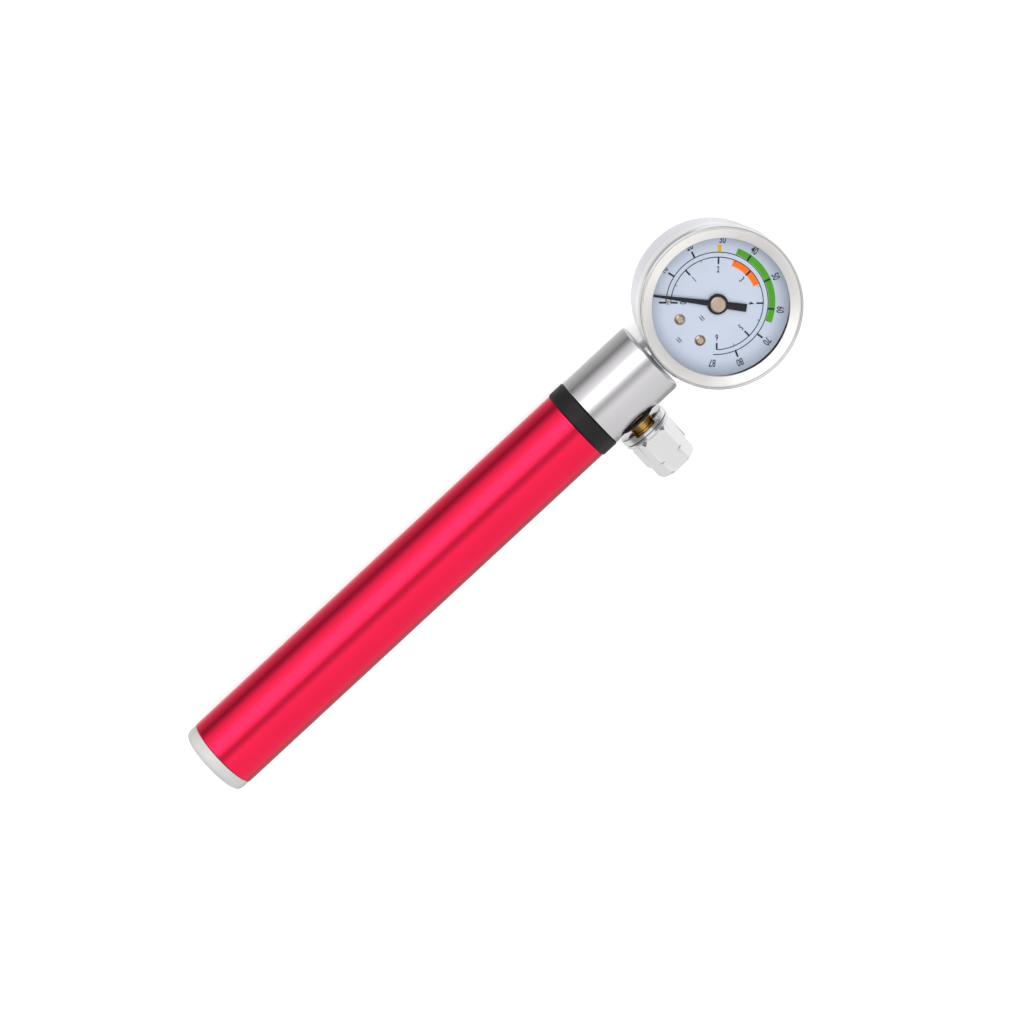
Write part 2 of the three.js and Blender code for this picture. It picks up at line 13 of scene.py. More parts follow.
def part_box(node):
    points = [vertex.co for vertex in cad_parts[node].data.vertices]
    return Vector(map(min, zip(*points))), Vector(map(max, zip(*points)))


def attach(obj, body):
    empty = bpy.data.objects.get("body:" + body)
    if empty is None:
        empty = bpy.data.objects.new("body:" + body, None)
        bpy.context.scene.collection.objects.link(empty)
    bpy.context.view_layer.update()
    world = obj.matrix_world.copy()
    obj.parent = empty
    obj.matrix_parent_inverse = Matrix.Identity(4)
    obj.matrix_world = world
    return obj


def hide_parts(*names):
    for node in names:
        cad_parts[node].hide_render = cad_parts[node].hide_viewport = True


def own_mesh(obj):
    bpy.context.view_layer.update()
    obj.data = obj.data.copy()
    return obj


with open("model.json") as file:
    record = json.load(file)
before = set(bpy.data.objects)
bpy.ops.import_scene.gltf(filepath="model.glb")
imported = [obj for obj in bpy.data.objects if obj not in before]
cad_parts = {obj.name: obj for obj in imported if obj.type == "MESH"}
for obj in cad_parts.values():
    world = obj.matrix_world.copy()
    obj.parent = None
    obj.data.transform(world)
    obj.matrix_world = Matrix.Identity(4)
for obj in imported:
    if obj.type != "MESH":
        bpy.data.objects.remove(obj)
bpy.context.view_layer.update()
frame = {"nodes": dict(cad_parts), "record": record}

MM = 0.001
FINE = 192  # facets round a large turned piece
MIDDLE = 128
SMALL = 64
HEAD, HANDLE, CHUCK, NEEDLE = "head", "handle", "chuck", "needle"


# ---------------------------------------------------------------- places, read from the frame
def low(node):
    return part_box(node)[0]


def high(node):
    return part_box(node)[1]


def middle(node):
    return (low(node) + high(node)) / 2


BARREL = middle("handle_tube")
AXIS_Y, AXIS_Z = BARREL.y, BARREL.z
CHUCK_X = middle("chuck_collar").x
GAUGE = middle("gauge_bezel")
CAP_FACE = low("end_cap").x
BARREL_R = (high("handle_tube").z - low("handle_tube").z) / 2 / MM
COLLAR_R = (high("end_collar").z - low("end_collar").z) / 2 / MM
HEAD_R = (high("head_body").z - low("head_body").z) / 2 / MM
BEZEL_R = (high("gauge_bezel").x - low("gauge_bezel").x) / 2 / MM
CASE_R = (high("gauge_case").x - low("gauge_case").x) / 2 / MM

ALONG_BARREL = (Vector((0, AXIS_Y, AXIS_Z)), "x")
UP_GAUGE = (Vector((GAUGE.x, GAUGE.y, AXIS_Z)), "z")
DIAL_CENTRE = UP_GAUGE[0]
DOWN_CHUCK = (Vector((CHUCK_X, AXIS_Y, AXIS_Z)), "chuck")


# ---------------------------------------------------------------- mesh helpers
def rounded(outline, closed=True, steps=10):
    """Rounds the corners of an outline of (r, h) or (r, h, corner radius) points."""
    out = []
    count = len(outline)
    for i, corner in enumerate(outline):
        here = Vector(corner[:2])
        radius = corner[2] if len(corner) > 2 else 0
        if radius <= 0 or (not closed and i in (0, count - 1)):
            out.append((here.x, here.y))
            continue
        back = Vector(outline[i - 1][:2]) - here
        ahead = Vector(outline[(i + 1) % count][:2]) - here
        bend = back.angle(ahead)
        reach = min(radius / math.tan(bend / 2), back.length * 0.49, ahead.length * 0.49)
        start = here + back.normalized() * reach
        end = here + ahead.normalized() * reach
        for step in range(steps + 1):
            t = step / steps
            point = start * (1 - t) ** 2 + here * 2 * t * (1 - t) + end * t * t
            out.append((point.x, point.y))
    return out


def placed(place, r, turn, h):
    """A point of a turned piece, from its radius, its angle and its height along the axis."""
    origin, axis = place
    across, beside = r * math.cos(turn), r * math.sin(turn)
    if axis == "x":
        offset = Vector((h, across, beside))
    elif axis == "z":
        offset = Vector((across, beside, h))
    else:
        offset = Vector((beside, -h, across))
    return origin + offset * MM


def finish_mesh(name, mesh, sharp=32):
    mesh.validate()
    obj = bpy.data.objects.new(name, mesh)
    bpy.context.scene.collection.objects.link(obj)
    bm = bmesh.new()
    bm.from_mesh(mesh)
    bmesh.ops.recalc_face_normals(bm, faces=bm.faces)
    bm.to_mesh(mesh)
    bm.free()
    smooth(obj, sharp)
    return obj


def smooth(obj, sharp=32):
    for face in obj.data.polygons:
        face.use_smooth = True
    obj.data.set_sharp_from_angle(angle=math.radians(sharp))


def skin(name, rings, closed, sharp=32):
    """A closed surface over rings of points. A ring with one point is a pole; a closed stack joins
    its last ring to its first."""
    points, faces, starts = [], [], []
    for ring in rings:
        starts.append(len(points))
        points.extend(ring)
    pairs = list(zip(range(len(rings)), range(1, len(rings))))
    if closed:
        pairs.append((len(rings) - 1, 0))
    for a, b in pairs:
        count = max(len(rings[a]), len(rings[b]))
        for i in range(count):
            j = (i + 1) % count
            loop = []
            for ring, order in ((a, (i, j)), (b, (j, i))):
                if len(rings[ring]) == 1:
                    loop.append(starts[ring])
                else:
                    loop.extend(starts[ring] + k for k in order)
            faces.append(loop)
    mesh = bpy.data.meshes.new(name)
    mesh.from_pydata(points, [], faces)
    return finish_mesh(name, mesh, sharp)


def turned(name, place, outline, facets=FINE, sharp=32, phase=0.0):
    """A turned piece. The outline runs from the axis to the axis, or closes on itself. With six
    facets it is a hexagonal bar."""
    on_axis = outline[0][0] == 0 and outline[-1][0] == 0
    rings = []
    for r, h in rounded(outline, closed=not on_axis):
        turns = [0] if r == 0 else [phase + 2 * math.pi * i / facets for i in range(facets)]
        rings.append([placed(place, r, turn, h) for turn in turns])
    return skin(name, rings, not on_axis, sharp)


def bar(name, size, place, turn=0):
    """A plain block that only cuts another piece, in millimetres from a place."""
    bm = bmesh.new()
    bmesh.ops.create_cube(bm, size=1)
    bmesh.ops.scale(bm, vec=Vector(size) * MM, verts=bm.verts)
    bmesh.ops.rotate(bm, matrix=Matrix.Rotation(turn, 3, "Z"), verts=bm.verts)
    bmesh.ops.translate(bm, vec=place, verts=bm.verts)
    mesh = bpy.data.meshes.new(name)
    bm.to_mesh(mesh)
    bm.free()
    obj = bpy.data.objects.new(name, mesh)
    bpy.context.scene.collection.objects.link(obj)
    return obj


def flat(name, outline, z_low, z_high, place, turn=0, sharp=32):
    """A flat piece of one outline, in millimetres about a place, from z_low to z_high."""
    spin = Matrix.Rotation(turn, 2)
    rings = []
    for z in (z_low, z_high):
        ring = []
        for x, y in outline:
            around = spin @ Vector((x, y))
            ring.append(place + Vector((around.x, around.y, z)) * MM)
        rings.append(ring)
    count = len(outline)
    points = rings[0] + rings[1]
    faces = [list(range(count))[::-1], list(range(count, 2 * count))]
    for i in range(count):
        j = (i + 1) % count
        faces.append([i, j, count + j, count + i])
    mesh = bpy.data.meshes.new(name)
    mesh.from_pydata(points, [], faces)
    return finish_mesh(name, mesh, sharp)


def apply_modifiers(obj):
    graph = bpy.context.evaluated_depsgraph_get()
    graph.update()
    mesh = bpy.data.meshes.new_from_object(obj.evaluated_get(graph))
    obj.modifiers.clear()
    obj.data = mesh


def combine(obj, tools, operation="DIFFERENCE"):
    for tool in tools:
        modifier = obj.modifiers.new(operation.title(), "BOOLEAN")
        modifier.operation = operation
        modifier.solver = "EXACT"
        modifier.object = tool
    bpy.context.view_layer.update()
    apply_modifiers(obj)
    for tool in tools:
        bpy.data.objects.remove(tool)
    return obj


def ease_edges(obj, width, segments=3, angle=30):
    """Small rounded edges that catch the light."""
    modifier = obj.modifiers.new("Eased", "BEVEL")
    modifier.width = width * MM
    modifier.segments = segments
    modifier.limit_method = "ANGLE"
    modifier.angle_limit = math.radians(angle)
    modifier.harden_normals = False
    apply_modifiers(obj)
    smooth(obj, 40)
    return obj


def joined(name, objects):
    bm = bmesh.new()
    for obj in objects:
        bm.from_mesh(obj.data)
        bpy.data.objects.remove(obj)
    mesh = bpy.data.meshes.new(name)
    bm.to_mesh(mesh)
    bm.free()
    whole = bpy.data.objects.new(name, mesh)
    bpy.context.scene.collection.objects.link(whole)
    smooth(whole)
    return whole


def fitted(obj, body, slot, *nodes):
    """Dresses a piece, rides it on its body and lets it stand for its CAD nodes."""
    obj.data.materials.clear()
    obj.data.materials.append(MATERIALS[slot])
    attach(obj, body)
    if nodes:
        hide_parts(*nodes)
    return obj


# ---------------------------------------------------------------- materials
class Shade:
    """A Principled material, and short names for the nodes that vary it over the surface."""

    def __init__(self, name, color, roughness, metallic=0.0, **sockets):
        self.material = bpy.data.materials.new(name)
        self.material.use_nodes = True
        self.nodes = self.material.node_tree.nodes
        self.links = self.material.node_tree.links
        self.bsdf = self.nodes["Principled BSDF"]
        self.bsdf.inputs["Base Color"].default_value = (*color, 1)
        self.bsdf.inputs["Roughness"].default_value = roughness
        self.bsdf.inputs["Metallic"].default_value = metallic
        for socket, value in sockets.items():
            self.bsdf.inputs[socket.replace("_", " ")].default_value = value
        self.place = self.nodes.new("ShaderNodeTexCoord").outputs["Object"]

    def noise(self, scale, stretch=(1, 1, 1), detail=4, offset=(0, 0, 0)):
        mapping = self.nodes.new("ShaderNodeMapping")
        mapping.inputs["Scale"].default_value = stretch
        mapping.inputs["Location"].default_value = offset
        self.links.new(self.place, mapping.inputs["Vector"])
        texture = self.nodes.new("ShaderNodeTexNoise")
        texture.inputs["Scale"].default_value = scale
        texture.inputs["Detail"].default_value = detail
        self.links.new(mapping.outputs["Vector"], texture.inputs["Vector"])
        return texture.outputs["Fac"]

    def spread(self, value, low_value, high_value, from_low=0.3, from_high=0.7):
        remap = self.nodes.new("ShaderNodeMapRange")
        remap.inputs["From Min"].default_value = from_low
        remap.inputs["From Max"].default_value = from_high
        remap.inputs["To Min"].default_value = low_value
        remap.inputs["To Max"].default_value = high_value
        self.links.new(value, remap.inputs["Value"])
        return remap.outputs["Result"]

    def vary_roughness(self, value, low_value, high_value):
        self.links.new(self.spread(value, low_value, high_value), self.bsdf.inputs["Roughness"])

    def vary_color(self, value, dark, light):
        ramp = self.nodes.new("ShaderNodeValToRGB")
        ramp.color_ramp.elements[0].position = 0.3
        ramp.color_ramp.elements[0].color = (*dark, 1)
        ramp.color_ramp.elements[1].position = 0.7
        ramp.color_ramp.elements[1].color = (*light, 1)
        self.links.new(value, ramp.inputs["Fac"])
        self.links.new(ramp.outputs["Color"], self.bsdf.inputs["Base Color"])

    def bump(self, value, distance, strength=1.0):
        bump = self.nodes.new("ShaderNodeBump")
        bump.inputs["Strength"].default_value = strength
        bump.inputs["Distance"].default_value = distance * MM
        self.links.new(value, bump.inputs["Height"])
        previous = self.bsdf.inputs["Normal"].links
        if previous:
            self.links.new(previous[0].from_socket, bump.inputs["Normal"])
        self.links.new(bump.outputs["Normal"], self.bsdf.inputs["Normal"])


def tinted(color, factor):
    return tuple(min(channel * factor, 1) for channel in color)


def anodised_red():
    color = (1.0, 0.022, 0.085)
    shade = Shade("anodised_red", color, 0.14, 1.0)
    cloud = shade.noise(60, detail=3)
    shade.vary_color(cloud, tinted(color, 0.96), color)
    drawn = shade.noise(900, stretch=(0.02, 1, 1), detail=2)
    shade.vary_roughness(drawn, 0.1, 0.16)
    shade.bump(drawn, 0.0012)
    return shade.material


def turned_metal(name, color, rough_low, rough_high, axis, groove=0.002):
    """Machined metal with fine lines round the given axis of turning."""
    shade = Shade(name, color, rough_low, 1.0)
    stretch = {"x": (1, 0.02, 0.02), "y": (0.02, 1, 0.02), "z": (0.02, 0.02, 1)}[axis]
    lines = shade.noise(1600, stretch=stretch, detail=3)
    cloud = shade.noise(70, detail=3)
    shade.vary_color(cloud, tinted(color, 0.95), color)
    shade.vary_roughness(lines, rough_low, rough_high)
    shade.bump(lines, groove)
    return shade.material


def plated(name, color, rough_low, rough_high, metallic=1.0):
    """Bright plating over metal: almost a mirror, with a slight ripple and faint haze."""
    shade = Shade(name, color, rough_low, metallic)
    haze = shade.noise(220, detail=4)
    shade.vary_roughness(haze, rough_low, rough_high)
    shade.vary_color(shade.noise(90), tinted(color, 0.95), color)
    shade.bump(shade.noise(260, detail=2), 0.004, 0.5)
    return shade.material


def moulded(name, color, rough_low, rough_high, grain, **sockets):
    """Moulded plastic or rubber with a fine grain."""
    shade = Shade(name, color, rough_low, 0.0, **sockets)
    shade.vary_color(shade.noise(120), tinted(color, 0.92), tinted(color, 1.04))
    shade.vary_roughness(shade.noise(500), rough_low, rough_high)
    shade.bump(shade.noise(2400, detail=3), grain)
    return shade.material


def painted(name, color, rough_low=0.4, rough_high=0.55, **sockets):
    """A thin even coat of enamel or ink."""
    shade = Shade(name, color, rough_low, **sockets)
    shade.vary_roughness(shade.noise(900), rough_low, rough_high)
    shade.vary_color(shade.noise(160), tinted(color, 0.97), color)
    shade.bump(shade.noise(3000, detail=2), 0.001)
    return shade.material


def clear_window():
    """Clear polished plastic: it lets light straight through and mirrors a little at a slant."""
    material = bpy.data.materials.new("window")
    material.use_nodes = True
    nodes, links = material.node_tree.nodes, material.node_tree.links
    nodes.clear()
    through = nodes.new("ShaderNodeBsdfTransparent")
    through.inputs["Color"].default_value = (0.985, 0.99, 0.995, 1)
    gloss = nodes.new("ShaderNodeBsdfGlossy")
    gloss.inputs["Roughness"].default_value = 0.03
    facing = nodes.new("ShaderNodeLayerWeight")
    facing.inputs["Blend"].default_value = 0.5
    slant = nodes.new("ShaderNodeMapRange")
    slant.interpolation_type = "SMOOTHSTEP"
    slant.inputs["From Min"].default_value = 0.1
    slant.inputs["From Max"].default_value = 1.3
    slant.inputs["To Min"].default_value = 0.015
    slant.inputs["To Max"].default_value = 0.5
    links.new(facing.outputs["Facing"], slant.inputs["Value"])
    mix = nodes.new("ShaderNodeMixShader")
    out = nodes.new("ShaderNodeOutputMaterial")
    links.new(slant.outputs["Result"], mix.inputs["Fac"])
    links.new(through.outputs["BSDF"], mix.inputs[1])
    links.new(gloss.outputs["BSDF"], mix.inputs[2])
    links.new(mix.outputs["Shader"], out.inputs["Surface"])
    return material


ALUMINIUM = (0.7, 0.685, 0.7)
DULL = 0.12  # specular level of inks and enamel that hardly mirror
MATERIALS = {
    "anodised_red": anodised_red(),
    "head_aluminium": turned_metal("head_aluminium", ALUMINIUM, 0.14, 0.2, "x", 0.0008),
    "steel": turned_metal("steel", (0.62, 0.62, 0.64), 0.16, 0.22, "x", 0.0004),
    "bright_steel": turned_metal("bright_steel", (0.9, 0.91, 0.98), 0.24, 0.3, "z", 0.0004),
    "chrome": plated("chrome", (0.83, 0.83, 0.84), 0.09, 0.17),
    "brass": turned_metal("brass", (0.8, 0.52, 0.16), 0.2, 0.32, "y"),
    "pale_brass": turned_metal("pale_brass", (0.75, 0.58, 0.44), 0.25, 0.4, "z"),
    "white_plastic": moulded("white_plastic", (0.47, 0.47, 0.46), 0.28, 0.4, 0.0015),
    "black_plastic": moulded(
        "black_plastic", (0.008, 0.008, 0.009), 0.36, 0.5, 0.003, Specular_IOR_Level=0.25),
    "rubber": moulded("rubber", (0.012, 0.012, 0.012), 0.55, 0.75, 0.004),
    "dial_paint": painted("dial_paint", (0.455, 0.498, 0.585)),
    "pointer_paint": painted(
        "pointer_paint", (0.006, 0.006, 0.01), 0.45, 0.6, Specular_IOR_Level=DULL),
    "window": clear_window(),
}
SATIN_CREAM = plated("satin_cream", (0.87, 0.85, 0.83), 0.3, 0.4, metallic=0.65)
INK_COLOURS = {
    "ink_black": (0.008, 0.008, 0.02),
    "ink_green": (0.055, 0.29, 0.006),
    "ink_orange": (0.85, 0.14, 0.002),
    "ink_yellow": (0.6, 0.36, 0.01),
}
INKS = {
    name: painted(name, color, 0.5, 0.65, Specular_IOR_Level=DULL)
    for name, color in INK_COLOURS.items()
}


def dress_cad_nodes():
    slots = {entry["node"]: entry["material_slot"] for entry in frame["record"]["subparts"]}
    for node, obj in frame["nodes"].items():
        obj.data.materials.clear()
        obj.data.materials.append(MATERIALS[slots[node]])


# ---------------------------------------------------------------- handle
BORE_R = BARREL_R - 1.5  # inside of the barrel
PLUG_R = BORE_R - 0.1  # what fits inside it
ROD_HOLE_R = 4.5
BUSH_R = 5.6
SPIGOT_BORE_R = 6.6
LIP = 1.4  # the collar's wall in front of the bush
BUSH_END = 4.2  # the bush's far end, from the collar's face
ROD_BORE_R = 1.8


def build_handle():
    start, end = low("handle_tube").x / MM, high("handle_tube").x / MM
    tube = turned("barrel", ALONG_BARREL, [
        (BORE_R, start, 0.3), (BARREL_R, start, 0.3), (BARREL_R, end, 0.2), (BORE_R, end, 0.2),
    ])
    fitted(tube, HANDLE, "anodised_red", "handle_tube")

    face = low("end_cap").x / MM
    back = high("end_cap").x / MM
    rim = BARREL_R - 0.1
    seat = start - 0.05
    cap = turned("barrel_cap", ALONG_BARREL, [
        (0, face), (rim, face, 2.2), (rim, seat, 0.15),
        (PLUG_R, seat), (PLUG_R, back, 0.4), (0, back),
    ])
    fitted(cap, HANDLE, "white_plastic", "end_cap")

    ring_start = end + 0.07
    ring_end = high("end_collar").x / MM
    spigot = low("end_collar").x / MM
    collar = turned("mouth_collar", ALONG_BARREL, [
        (SPIGOT_BORE_R, spigot), (PLUG_R, spigot, 0.3), (PLUG_R, ring_start),
        (COLLAR_R, ring_start, 0.4), (COLLAR_R, ring_end, 0.5), (ROD_HOLE_R, ring_end, 0.3),
        (ROD_HOLE_R, ring_end - LIP), (BUSH_R, ring_end - LIP), (BUSH_R, ring_end - BUSH_END),
        (SPIGOT_BORE_R, ring_end - BUSH_END),
    ])
    fitted(collar, HANDLE, "black_plastic", "end_collar")


def build_rod():
    start, end = low("piston_rod").x / MM, high("piston_rod").x / MM
    radius = (high("piston_rod").z - low("piston_rod").z) / 2 / MM
    rod = turned("piston_rod_tube", ALONG_BARREL, [
        (ROD_BORE_R, start, 0.1), (radius, start, 0.3), (radius, end, 0.3), (ROD_BORE_R, end, 0.1),
    ], MIDDLE)
    fitted(rod, HEAD, "steel", "piston_rod")


def build_check_spring():
    """The spring behind the valve ball, a coil of wire drawn at the length of its CAD node."""
    wire, coil_r, turns, steps_a_turn, sides = 0.16, 1.25, 4, 24, 10
    start, end = low("check_spring").x / MM + wire, high("check_spring").x / MM - wire
    steps = turns * steps_a_turn
    rings = []
    for step in range(steps + 1):
        turn = 2 * math.pi * step / steps_a_turn
        h = start + (end - start) * step / steps
        section = [2 * math.pi * side / sides for side in range(sides)]
        rings.append([
            placed(ALONG_BARREL, coil_r + wire * math.cos(a), turn, h + wire * math.sin(a)) for a in section
        ])
    first = [placed(ALONG_BARREL, coil_r, 0, start)]
    last = [placed(ALONG_BARREL, coil_r, 2 * math.pi * turns, end)]
    spring = skin("valve_spring", [first, *rings, last], False, 60)
    fitted(spring, HEAD, "steel", "check_spring")
    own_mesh(spring)


# ---------------------------------------------------------------- head
SPOT_FACE = (AXIS_Y - high("nipple_seal").y) / MM - 0.1  # the flat on the head, from the barrel axis
SPOT_FACE_R = 7.7
PAST_HEAD = 14  # clear of the head's side, from the barrel axis
PORT_START = 4.6
PORT_R = 3.45
ROD_SOCKET_R = 4.05
ROD_SOCKET_DEPTH = 6.7
AIRWAY_R = 1.4
GAUGE_SOCKET_R = 5.0
GAUGE_SOCKET_DEPTH = 8.9


def build_head():
    start, end = low("head_body").x / MM, high("head_body").x / MM
    body = turned("head_block", ALONG_BARREL, [
        (ROD_SOCKET_R, start), (HEAD_R, start, 0.2), (HEAD_R, end, 1.3), (GAUGE_SOCKET_R, end, 0.2),
        (GAUGE_SOCKET_R, end - GAUGE_SOCKET_DEPTH), (AIRWAY_R, end - GAUGE_SOCKET_DEPTH),
        (AIRWAY_R, start + ROD_SOCKET_DEPTH), (ROD_SOCKET_R, start + ROD_SOCKET_DEPTH),
    ])
    spot = turned("spot_cutter", DOWN_CHUCK, [
        (0, SPOT_FACE), (SPOT_FACE_R, SPOT_FACE, 0.4), (SPOT_FACE_R, PAST_HEAD), (0, PAST_HEAD),
    ], MIDDLE)
    port = turned("port_cutter", DOWN_CHUCK, [
        (0, PORT_START), (PORT_R, PORT_START), (PORT_R, PAST_HEAD), (0, PAST_HEAD),
    ], SMALL)
    combine(body, [spot, port])
    smooth(body, 14)
    fitted(body, HEAD, "head_aluminium", "head_body")


# ---------------------------------------------------------------- chuck
HEX_PHASE = math.radians(92.5)  # the first corner points along the barrel, with the nut's small turn
NUT_CORNER_R = 6.7
TIP_CORNER_R = 6.1
NUT_FLAT_TOP = 14.9
NUT_STEP = 22.35
SLOT_SIZE = (6.4, 2.2, 16)
COLLAR_TOP = 11.4
NIPPLE_R = 3.35
THREAD_START = 10.75
THREAD_PITCH = 0.6


def hex_bar(corner_r, start, end):
    """A hexagonal bar along the chuck, that later takes its rounded-off corners."""
    outline = [(0, start), (corner_r, start), (corner_r, end), (0, end)]
    return turned("hex_bar", DOWN_CHUCK, outline, 6, phase=HEX_PHASE)


def build_chuck_nut():
    mouth = (AXIS_Y - low("chuck_nut").y) / MM
    nut = hex_bar(NUT_CORNER_R, NUT_FLAT_TOP, NUT_STEP)
    chamfer = turned("corner_cutter", DOWN_CHUCK, [
        (0, NUT_FLAT_TOP - 0.1), (6.05, NUT_FLAT_TOP - 0.1), (7.0, 16.3), (7.0, 21.4), (5.9, NUT_STEP + 0.1),
        (0, NUT_STEP + 0.1),
    ])
    combine(nut, [chamfer], "INTERSECT")
    tip = hex_bar(TIP_CORNER_R, NUT_STEP - 0.3, mouth)
    tip_chamfer = turned("tip_cutter", DOWN_CHUCK, [
        (0, NUT_STEP - 0.4), (6.3, NUT_STEP - 0.4), (6.3, mouth - 1.3), (5.5, mouth), (0, mouth),
    ])
    combine(tip, [tip_chamfer], "INTERSECT")
    skirt = turned("skirt", DOWN_CHUCK, [
        (0, 13.65), (6.95, 13.65, 0.2), (6.95, 14.35, 0.3), (5.85, 15.3), (5.5, 15.6), (0, 15.6),
    ])
    combine(nut, [tip, skirt], "UNION")
    groove = turned("step_groove", DOWN_CHUCK, [
        (5.45, NUT_STEP - 0.12), (8, NUT_STEP - 0.12), (8, NUT_STEP + 0.03), (5.45, NUT_STEP + 0.03),
    ])
    bore = turned("nut_bore", DOWN_CHUCK, [
        (0, 13), (5.3, 13), (5.3, 16.1), (5.0, 16.1), (5.0, 18.2), (4.35, 18.2), (4.35, 20.3),
        (3.95, 20.3), (3.95, mouth - 0.45), (4.5, mouth + 0.1), (0, mouth + 0.1),
    ], MIDDLE)
    combine(nut, [bore, groove])
    ease_edges(nut, 0.18, 3, 24)
    nut.name = "chuck_shell"
    fitted(nut, CHUCK, "chrome", "chuck_nut")


def build_chuck():
    build_chuck_nut()
    collar = turned("chuck_slotted_ring", DOWN_CHUCK, [
        (3.6, COLLAR_TOP, 0.2), (7.0, COLLAR_TOP, 0.35), (7.0, 13.45, 0.25), (5.2, 13.5), (5.2, 16),
        (3.6, 16),
    ], MIDDLE)
    slot = bar("slot_cutter", SLOT_SIZE, Vector((CHUCK_X, AXIS_Y - COLLAR_TOP * MM, AXIS_Z)))
    combine(collar, [slot])
    ease_edges(collar, 0.12)
    fitted(collar, CHUCK, "chrome", "chuck_collar")

    grooves = []
    for i in range(4):
        h = THREAD_START + THREAD_PITCH * i
        grooves += [(NIPPLE_R, h), (NIPPLE_R, h + 0.3, 0.05), (3.2, h + 0.38), (3.2, h + 0.47)]
    nipple = turned("chuck_nipple_body", DOWN_CHUCK, [
        (1, 4.3), (3.4, 4.3, 0.2), (3.4, SPOT_FACE + 0.4), (NIPPLE_R, SPOT_FACE + 0.4), *grooves,
        (NIPPLE_R, 13.5), (NIPPLE_R, 16.2), (4.8, 16.2), (4.8, 17.7), (4, 18.1), (1.9, 18.1), (1.9, 17),
        (1, 17),
    ], MIDDLE)
    fitted(nipple, HEAD, "brass", "chuck_nipple")

    seal_r = (high("nipple_seal").x - low("nipple_seal").x) / 2 / MM
    seal_top, seal_foot = SPOT_FACE + 0.1, (AXIS_Y - low("nipple_seal").y) / MM
    seal = turned("nipple_ring", DOWN_CHUCK, [
        (PORT_R, seal_top), (seal_r, seal_top, 0.2), (seal_r, seal_foot, 0.2), (PORT_R, seal_foot),
    ], MIDDLE)
    fitted(seal, HEAD, "rubber", "nipple_seal")
    gasket = turned("valve_gasket_ring", DOWN_CHUCK, [
        (1.7, 18.3, 0.1), (4.25, 18.3), (4.25, 20.2), (3.4, 20.2, 0.2), (2.6, 19.9, 0.3),
        (1.7, 20.2, 0.2),
    ], SMALL)
    fitted(gasket, CHUCK, "rubber", "valve_gasket")
    pin = turned("valve_depressor", DOWN_CHUCK, [
        (0, 14.4), (0.6, 14.4), (0.6, 17.15), (1.6, 17.15), (1.6, 17.75, 0.1), (0.7, 17.75),
        (0.7, 21.4, 0.25), (0, 21.4),
    ], SMALL)
    fitted(pin, HEAD, "brass", "valve_pin")


# ---------------------------------------------------------------- gauge shell
OPENING_R = 18.1  # the bezel's opening, in front of the window
CASE_WALL = 0.7
STEM_HOLE_R = 5.1
CREAM_R = BEZEL_R - 0.9  # the bezel's satin face lies inside this radius


def build_gauge_shell():
    back = (low("gauge_case").z - AXIS_Z) / MM
    rim = (high("gauge_case").z - AXIS_Z) / MM
    floor = back + CASE_WALL
    inner_r = CASE_R - CASE_WALL
    case = turned("gauge_cup", UP_GAUGE, [
        (0, back), (CASE_R, back, 1.7), (CASE_R, rim, 0.1), (inner_r, rim, 0.1), (inner_r, floor, 1.1),
        (0, floor),
    ])
    side = low("gauge_case").x / MM
    stem = turned("stem_cutter", ALONG_BARREL, [
        (0, side - 2), (STEM_HOLE_R, side - 2), (STEM_HOLE_R, side + 3), (0, side + 3),
    ], SMALL)
    combine(case, [stem])
    smooth(case, 30)
    fitted(case, HEAD, "bright_steel", "gauge_case")

    skirt = (low("gauge_bezel").z - AXIS_Z) / MM
    front = (high("gauge_bezel").z - AXIS_Z) / MM
    glass_low = (low("gauge_window").z - AXIS_Z) / MM
    glass_high = (high("gauge_window").z - AXIS_Z) / MM
    lip = glass_high + 0.07
    inside = CASE_R + 0.1
    bezel = turned("gauge_rim", UP_GAUGE, [
        (inside, skirt, 0.08), (BEZEL_R, skirt, 0.25), (BEZEL_R, front - 1.2, 1.2),
        (BEZEL_R - 0.45, front, 0.5), (BEZEL_R - 0.85, front, 0.2), (BEZEL_R - 0.92, front - 0.6),
        (BEZEL_R - 1.12, front - 0.6), (BEZEL_R - 1.18, front - 0.15, 0.1),
        (OPENING_R + 0.05, lip + 0.38, 0.15), (OPENING_R, lip), (inside, lip),
    ])
    fitted(bezel, HEAD, "chrome", "gauge_bezel")
    bezel.data.materials.append(SATIN_CREAM)
    for face in bezel.data.polygons:
        radius = (face.center - DIAL_CENTRE).xy.length / MM
        if radius < CREAM_R and face.center.z > AXIS_Z + (lip + 0.03) * MM:
            face.material_index = 1

    glass = turned("gauge_glass", UP_GAUGE, [
        (0, glass_low), (inside - 0.2, glass_low, 0.1), (inside - 0.2, glass_high, 0.1), (0, glass_high),
    ])
    fitted(glass, HEAD, "window", "gauge_window")


# ---------------------------------------------------------------- dial
DIAL_TOP = (high("dial_plate").z - AXIS_Z) / MM
INK = 0.03  # thickness of a printed mark
SCALE_START = -135.5  # degrees clockwise from the top of the dial
DEGREES_PER_BAR = 44.65
PSI_PER_BAR = 14.504
OUTER_ARC_R = 13.5
INNER_ARC_R = 12.2
DIAL_R = 19.2
DIAL_HOLE_R = 1.6
LINE_HALF = 0.12  # half the width of a printed line
OVER_BANDS = 0.02  # ticks lie on the coloured bands by this much
OUTER_FIGURE_R, OUTER_FIGURE_SIZE = 16.75, 2.75
INNER_FIGURE_R, INNER_FIGURE_SIZE = 8.9, 2.3
OUTER_ARC_END = 136.5
FIGURE_NARROWING = 0.66  # how much narrower the figures are than the plain lettering


def at_bar(bar_value):
    return SCALE_START + DEGREES_PER_BAR * bar_value


def at_psi(psi):
    return at_bar(psi / PSI_PER_BAR)


def on_dial(radius, clockwise):
    """A point of the dial plane. The dial's top is towards +X."""
    turn = math.radians(-clockwise)
    return (radius * math.cos(turn), radius * math.sin(turn))


